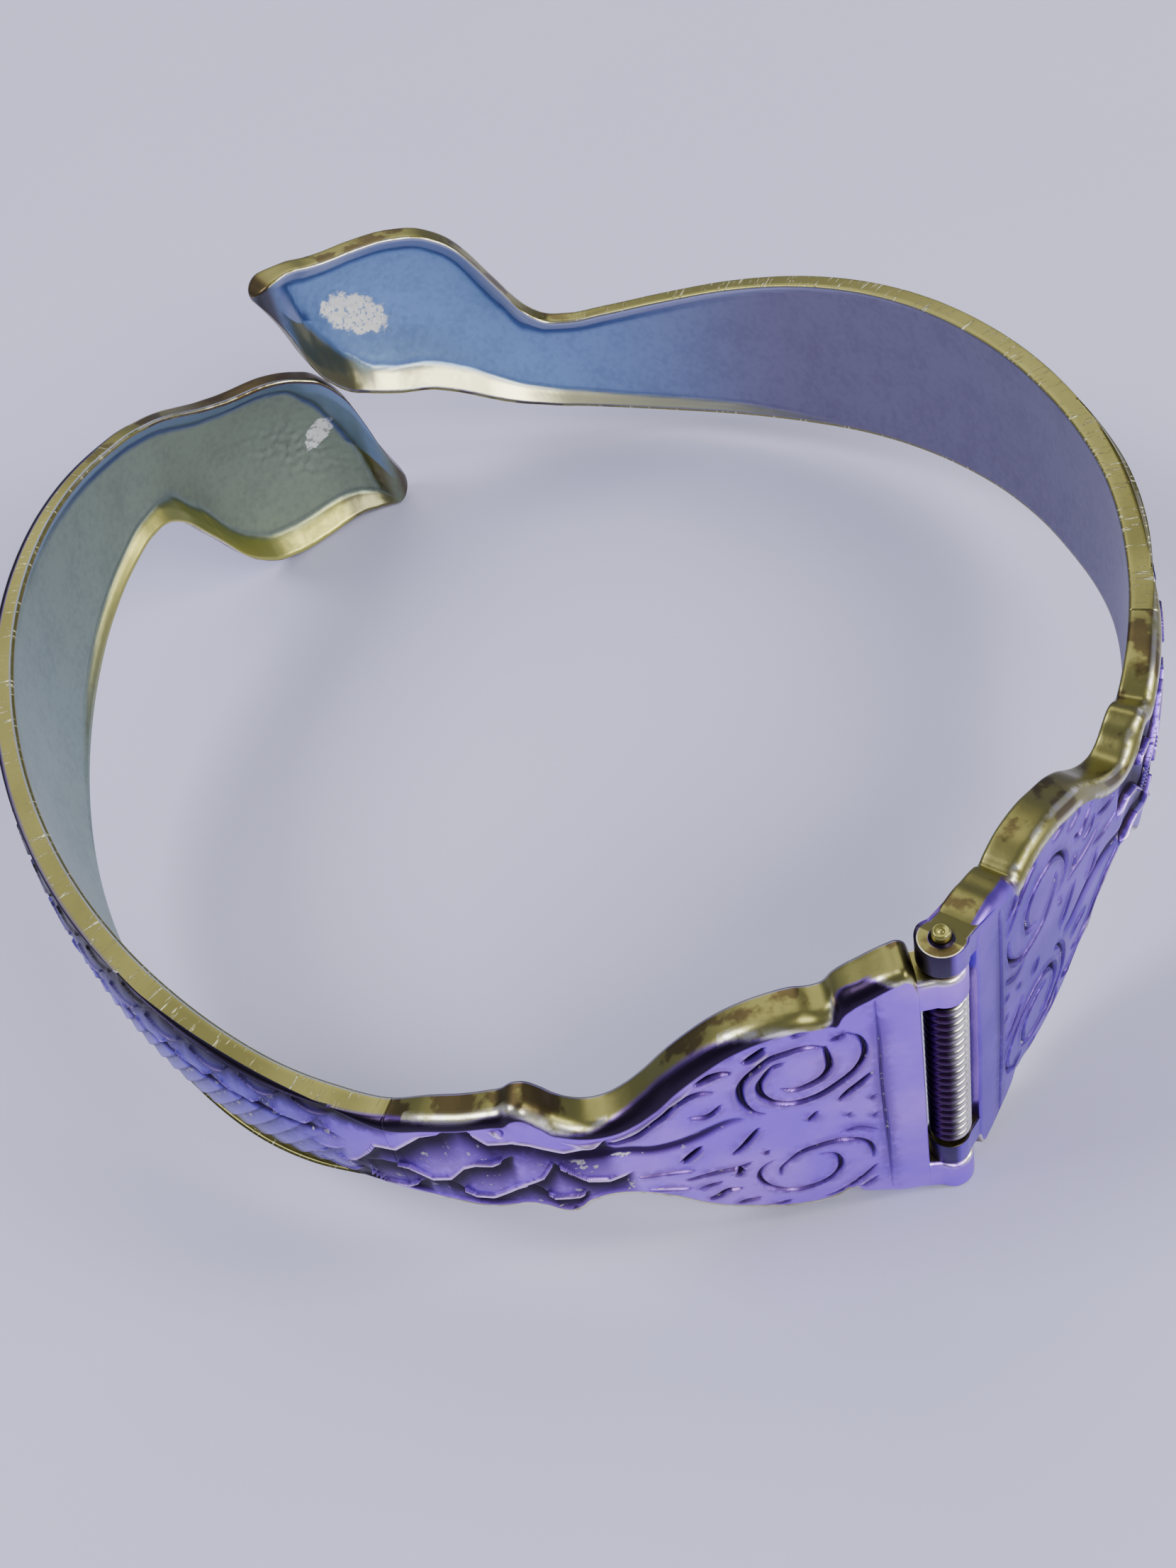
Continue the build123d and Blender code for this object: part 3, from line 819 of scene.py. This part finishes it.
def counted(operation):  # the same sum with the socket first and with it last
    def work(flow, first, second):
        return flow.make("ShaderNodeMath", {"operation": operation}, {0: first, 1: second})

    return lambda flow, other: work(flow, flow, other), lambda flow, other: work(flow, other, flow)


class Flow:  # a socket that can stand in a sum
    def __init__(self, tree, socket=None):
        self.tree = tree
        self.socket = socket

    def make(self, kind, settings=None, sockets=None, output=0):
        made = self.tree.nodes.new(kind)
        for name, value in (settings or {}).items():
            setattr(made, name, value)
        for name, value in (sockets or {}).items():
            if isinstance(value, Flow):
                self.tree.links.new(value.socket, made.inputs[name])
            else:
                made.inputs[name].default_value = value
        return Flow(self.tree, made.outputs[output])

    __add__, __radd__ = counted("ADD")
    __sub__, __rsub__ = counted("SUBTRACT")
    __mul__, __rmul__ = counted("MULTIPLY")


def clipped(flow):
    return flow.make("ShaderNodeClamp", None, {"Value": flow, "Min": 0.0, "Max": 1.0})


def ramped(flow, low, high):  # 0 below low, 1 above high
    return flow.make("ShaderNodeMapRange", {"interpolation_type": "SMOOTHSTEP"},
                     {"Value": flow, "From Min": low, "From Max": high})


def blended(factor, first, second):
    return factor.make("ShaderNodeMix", {"data_type": "RGBA"}, {0: factor, 6: first, 7: second}, 2)


def layered(base, *layers):  # each layer is how much of it shows, and its colour
    for amount, colour in layers:
        base = blended(amount, base, colour)
    return base


def noise(vector, scale, detail, rough=0.5):
    return vector.make("ShaderNodeTexNoise", None,
                       {"Vector": vector, "Scale": scale, "Detail": detail, "Roughness": rough})


def newMaterial(name):
    made = bpy.data.materials.new(name)
    made.use_nodes = True
    tree = made.node_tree
    tree.nodes.clear()
    return made, Flow(tree)


def finishMaterial(tree, colour, roughness, metallic, normal=None):
    shader = tree.nodes.new("ShaderNodeBsdfPrincipled")
    for name, value in (("Base Color", colour), ("Roughness", roughness), ("Metallic", metallic),
                        ("Normal", normal)):
        if isinstance(value, Flow):
            tree.links.new(value.socket, shader.inputs[name])
        elif value is not None:
            shader.inputs[name].default_value = value
    output = tree.nodes.new("ShaderNodeOutputMaterial")
    tree.links.new(shader.outputs[0], output.inputs[0])


castFinish = {
    # painted shade in the cuts
    "recess": (0.030, 0.012, 0.060, 1.0),
    # painted glints
    "glint": (1.0, 0.96, 0.84, 1.0),
    # painted highlight on the scales' crests
    "crest": (1.0, 0.80, 1.0, 1.0),
    # painted reflection: a bluer tint over the band
    "band": (0.10, 0.12, 0.46, 1.0),
    "rim": (0.33, 0.315, 0.105, 1.0),
    "rimDull": (0.20, 0.185, 0.065, 1.0),
    "rimBrown": (0.085, 0.055, 0.030, 1.0),
    # painted highlight on the rim's edge and file marks
    "rimHighlight": (0.98, 0.95, 0.62, 1.0),
    # painted shade and dark reflection
    "black": (0.018, 0.014, 0.012, 1.0),
    # painted shade in the crease under the head's upper bevel
    "crease": (0.03, 0.06, 0.20, 1.0),
    # painted reflection on the lower bevel towards the nose
    "noseBevel": (0.22, 0.21, 0.11, 1.0),
    "spot": (1.0, 1.0, 0.90, 1.0),
    # the two arms are one casting: their face, worn, inner, head and bevel tones differ as painted reflection
    # and shade
    "right": {
        "face": (0.19, 0.085, 0.60, 1.0),
        "worn": (0.38, 0.21, 0.86, 1.0),
        "inner": (0.215, 0.20, 0.295, 1.0),
        "head": (0.265, 0.43, 0.70, 1.0),
        # painted reflection: upper bevels reflect the floor, lower ones the overhead light
        "upperBevel": (0.44, 0.46, 0.66, 1.0),
        "lowerBevel": (1.0, 0.95, 0.56, 1.0),
        "patch": (94.0, 3.8, 3.0, 1.5, 1.0),  # along, height, half its length and width, strength
        "headRim": 0.0,  # how brown the rim is round the head
    },
    # painted reflection and shade: lighter and more purple than the right arm's copy of the same metal
    "left": {
        "face": (0.37, 0.16, 0.94, 1.0),
        "worn": (0.64, 0.35, 1.0, 1.0),
        "inner": (0.32, 0.41, 0.345, 1.0),
        "head": (0.29, 0.35, 0.24, 1.0),
        # painted reflection: upper bevels reflect the floor, lower ones the overhead light
        "upperBevel": (0.27, 0.39, 0.60, 1.0),
        "lowerBevel": (0.58, 0.55, 0.16, 1.0),
        "patch": (95.5, 3.4, 0.8, 1.6, 0.8),
        "headRim": 0.85,
    },
}


def castMetal(name, side):
    made, start = newMaterial(name)
    tone = {**castFinish, **castFinish[side]}

    def fact(attribute):
        return start.make("ShaderNodeAttribute", {"attribute_name": attribute}, None, 2)

    def mottled(scale, detail):
        return noise(place, scale, detail, 0.55)

    place = start.make("ShaderNodeTexCoord", None, None, 3)
    along, through, upright, carved, rim, paintedHighlight, shoulder, shade, within, bevel, crease = map(fact, marks)
    cloudy = mottled(190.0, 4.0)
    grain = mottled(2600.0, 3.0)
    speckle = mottled(2300.0, 2.0)
    mottle = mottled(420.0, 4.0)
    filed = ramped(along, 25.45, 25.55) * (1 - ramped(along, 74.0, 84.0))
    # outer face: silver with a painted reflection in purple and blue, the cuts painted near black as shade,
    # raised places lighter (partly wear, partly painted highlight), painted glints as bright specks beside
    # the cuts
    worn = ramped(carved, 0.01, 0.09)
    cut = ramped(0 - carved, 0.015, 0.20)
    touched = ramped(cut * (1 - cut) * 4 + worn * 0.6, 0.25, 0.8)
    specks = ramped(speckle, 0.60, 0.66) * touched * ramped(mottle, 0.45, 0.6)
    # painted shade and dark reflection: black runs on from the edge and lies in the low places, broken by
    # noise specks
    shadeBlack = shade * ramped(speckle * 0.5 + mottle * 0.6 + shade * 0.35, 0.48, 0.72)
    face = layered(
        tone["face"],
        (ramped(cloudy, 0.40, 0.68) * 0.6, tone["worn"]),
        (ramped(along, 23.0, 33.0) * 0.7, tone["band"]),
        (worn * 0.9, tone["worn"]),
        (ramped(carved, 0.05, 0.11) * 0.7, tone["crest"]),
        (cut * 0.96, tone["recess"]),
        (specks, tone["glint"]),
        (shadeBlack, tone["black"]),
    )
    # inner face: plain cast skin, in another tone at the head; the bevels carry a painted reflection of the
    # light and the crease painted shade
    spotAlong, spotUp, spotLong, spotWide, spotStrength = tone["patch"]
    across = along - spotAlong
    upwards = upright - spotUp
    long = (across + upwards) * (0.707 / spotLong)
    wide = (across - upwards) * (0.707 / spotWide)
    blotch = 1 - ramped(long * long + wide * wide, 0.0, 1.4)
    spot = ramped(blotch * 0.75 + mottled(1900.0, 2.0), 0.78, 1.0)
    pitted = spot * (1 - 0.75 * ramped(mottled(3300.0, 1.0), 0.56, 0.64))
    bare = pitted * spotStrength
    lower = blended(ramped(along, 94.6, 95.8), tone["lowerBevel"], tone["noseBevel"])
    inner = layered(
        tone["inner"],
        (ramped(along, 64.0, 86.0), tone["head"]),
        (ramped(mottle * 0.5 + speckle * 0.5, 0.40, 0.66) * 0.16, tone["recess"]),
        (bare, tone["spot"]),
        # painted reflection on the bevels, painted shade in the crease
        (clipped(0 - bevel) * 0.85, tone["upperBevel"]),
        (clipped(bevel) * ramped(along, 60.0, 80.0), lower),
        (crease * ramped(along, 66.0, 80.0) * 0.85, tone["crease"]),
    )
    # the brassy edge, with brown patches, and file marks across the band painted bright as glints
    unrolled = start.make("ShaderNodeCombineXYZ", None, {"X": along, "Y": through, "Z": upright})
    strokes = start.make("ShaderNodeMapping", None, {"Vector": unrolled, "Scale": (1.0, 0.10, 0.10)})
    nick = ramped(noise(strokes, 5.0, 4.0, 0.75), 0.58, 0.66) * rim * filed
    edge = layered(
        tone["rim"],
        (cloudy, tone["rimDull"]),
        (ramped(mottle, 0.50, 0.58) * (1 - filed) * 0.8, tone["rimBrown"]),
        (ramped(along, 84.0, 90.0) * tone["headRim"], tone["rimBrown"]),
        (nick * 0.9, tone["rimHighlight"]),
    )
    # painted highlight lines along the edges
    bright = paintedHighlight * ramped(mottle + 0.35 * speckle, 0.50, 0.72)
    line = blended(ramped(speckle, 0.45, 0.6), tone["rimHighlight"], tone["glint"])
    colour = layered(
        face,
        (within, inner),
        (rim, edge),
        # painted black on the lower shoulder and in the ears' holes: painted shade and dark reflection
        (shoulder * (1 - within) * 0.97, tone["black"]),
        (bright, line),
        (ramped(along, 98.7, 99.7) * 0.85, tone["rimBrown"]),
    )
    skin = (1 - rim * filed) * grain * 0.35 + nick * 1.2 + cloudy * 0.2 + spot * speckle * 2.5
    bump = start.make("ShaderNodeBump", None, {"Strength": 0.35, "Distance": 0.00006, "Height": skin})
    rough = 0.28 + 0.14 * cloudy + within * 0.10 + cut * 0.15 - bright * 0.12 - clipped(bevel) * 0.12
    finishMaterial(start.tree, colour, rough, 1 - bare * within * 0.8, bump)
    return made


def wireMetal(name, colour, dark, roughness, shaded=None):
    made, start = newMaterial(name)
    place = start.make("ShaderNodeTexCoord", None, None, 3)
    drawn = noise(place, 900.0, 3.0)
    cloudy = noise(place, 260.0, 3.0)
    tint = blended(clipped(cloudy * 2.2 - 0.8), colour, dark)
    if shaded:  # painted shade and dark reflection: black on the side of the coil towards the slot
        across = start.make("ShaderNodeSeparateXYZ", None, {"Vector": place})
        litSide = ramped(across * (1 / mm) + (drawn - 0.5) * 0.3, shaded[0], shaded[1])
        tint = blended(litSide, shaded[2], tint)
    bump = start.make("ShaderNodeBump", None, {"Strength": 0.2, "Distance": 0.00002, "Height": drawn})
    finishMaterial(start.tree, tint, roughness + 0.12 * drawn, 1.0, bump)
    return made


def floorPaper():
    made, start = newMaterial("paleFloor")
    grain = noise(start.make("ShaderNodeTexCoord", None, None, 3), 24.0, 3.0)
    tint = blended(grain, (0.66, 0.66, 0.92, 1.0), (0.72, 0.71, 0.96, 1.0))
    finishMaterial(start.tree, tint, 0.75, 0.0)
    return made


springFinish = {
    "colour": (0.86, 0.83, 0.74, 1.0),
    "dark": (0.50, 0.44, 0.46, 1.0),
    "roughness": 0.16,
    "shaded": (-0.50, 0.24, (0.055, 0.022, 0.070, 1.0)),  # painted shade on the coil: from, to across the pin, colour
}
pinFinish = {
    "colour": (0.42, 0.40, 0.12, 1.0),
    "dark": (0.16, 0.13, 0.04, 1.0),
    "roughness": 0.26,
}
sides = {
    "right": ("right_side", castMetal("rightCastMetal", "right")),
    "left": ("left_side", castMetal("leftCastMetal", "left")),
}
springMetal = wireMetal("springWire", **springFinish)
pinMetal = wireMetal("pinWire", **pinFinish)
print("finishes mixed")

for side, (body, metal) in sides.items():
    turned = side == "left"
    for piece in ("terminal", "band"):
        addPiece(side + piece.capitalize(), castPiece(piece, side), body, metal, turned)
    for place, shape in zip(("Upper", "Lower"), ear[side]):
        addPiece(side + place + "Ear", castEar(shape), body, metal, turned)
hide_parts("right_arm")
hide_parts("left_arm")
spring = addPiece("coilSpring", windSpring(), "left_side", springMetal)
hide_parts("hinge_spring")
pinPiece = addPiece("peenedPin", turnPin(), "left_side", pinMetal)
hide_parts("hinge_pin")
print("pieces placed")

studio = {
    "floorSize": 0.9,
    "pinTip": -9.72,
    "headDrop": -10.48,  # the left head's lowest edge
    "airColour": (0.70, 0.72, 0.96, 1.0),
    "airStrength": 0.34,
    "lights": (  # name, place, size, power, colour
        ("overhead", (0.12, 0.34, 0.41), (0.50, 0.40), 1.1, (1.0, 0.97, 0.86)),
        ("front", (0.12, -0.44, 0.36), (0.30, 0.22), 1.9, (1.0, 0.98, 0.92)),
        ("side", (-0.34, 0.20, 0.44), (0.22, 0.22), 1.6, (0.97, 0.96, 1.0)),
        ("right", (0.38, -0.26, 0.27), (0.10, 0.30), 1.0, (1.0, 0.98, 0.90)),
    ),
}


def layFloor():  # a flat sheet under the pin's end and the lower head
    bm = bmesh.new()
    bmesh.ops.create_grid(bm, x_segments=8, y_segments=8, size=studio["floorSize"])
    lean = (studio["headDrop"] - studio["pinTip"]) / (-2 * pinY)
    for vert in bm.verts:
        vert.co.z = studio["pinTip"] * mm + (vert.co.y - pinY * mm) * lean
    mesh = meshFrom(bm, "floor")
    mesh.materials.append(floorPaper())
    made = placed("floor", mesh)


def addLight(name, place, size, power, colour):
    data = bpy.data.lights.new(name, "AREA")
    data.shape = "RECTANGLE"
    data.size, data.size_y = size
    data.energy = power
    data.color = colour
    made = placed(name, data)
    made.location = place
    made.rotation_euler = (-Vector(place)).to_track_quat("-Z", "Y").to_euler()


layFloor()
for light in studio["lights"]:
    addLight(*light)
world = bpy.data.worlds.new("studioAir")
world.use_nodes = True
background = world.node_tree.nodes["Background"]
background.inputs["Color"].default_value = studio["airColour"]
background.inputs["Strength"].default_value = studio["airStrength"]
bpy.context.scene.world = world

camera = {
    "place": (-24.559, -65.687, 70.329),
    "right": (0.84383, -0.50763, -0.17396),
    "up": (0.49064, 0.5986, 0.6332),
    "back": (-0.2173, -0.61967, 0.75418),
    "lens": 40.668,
}
lens = bpy.data.cameras.new("camera")
lens.lens = camera["lens"]
lens.sensor_width = 36.0
lens.clip_start = 0.005
viewer = placed("camera", lens)
turn = Matrix((camera["right"], camera["up"], camera["back"])).transposed().to_4x4()
viewer.matrix_world = Matrix.Translation(Vector(camera["place"]) * mm) @ turn
bpy.context.scene.camera = viewer
print("camera and lights set")
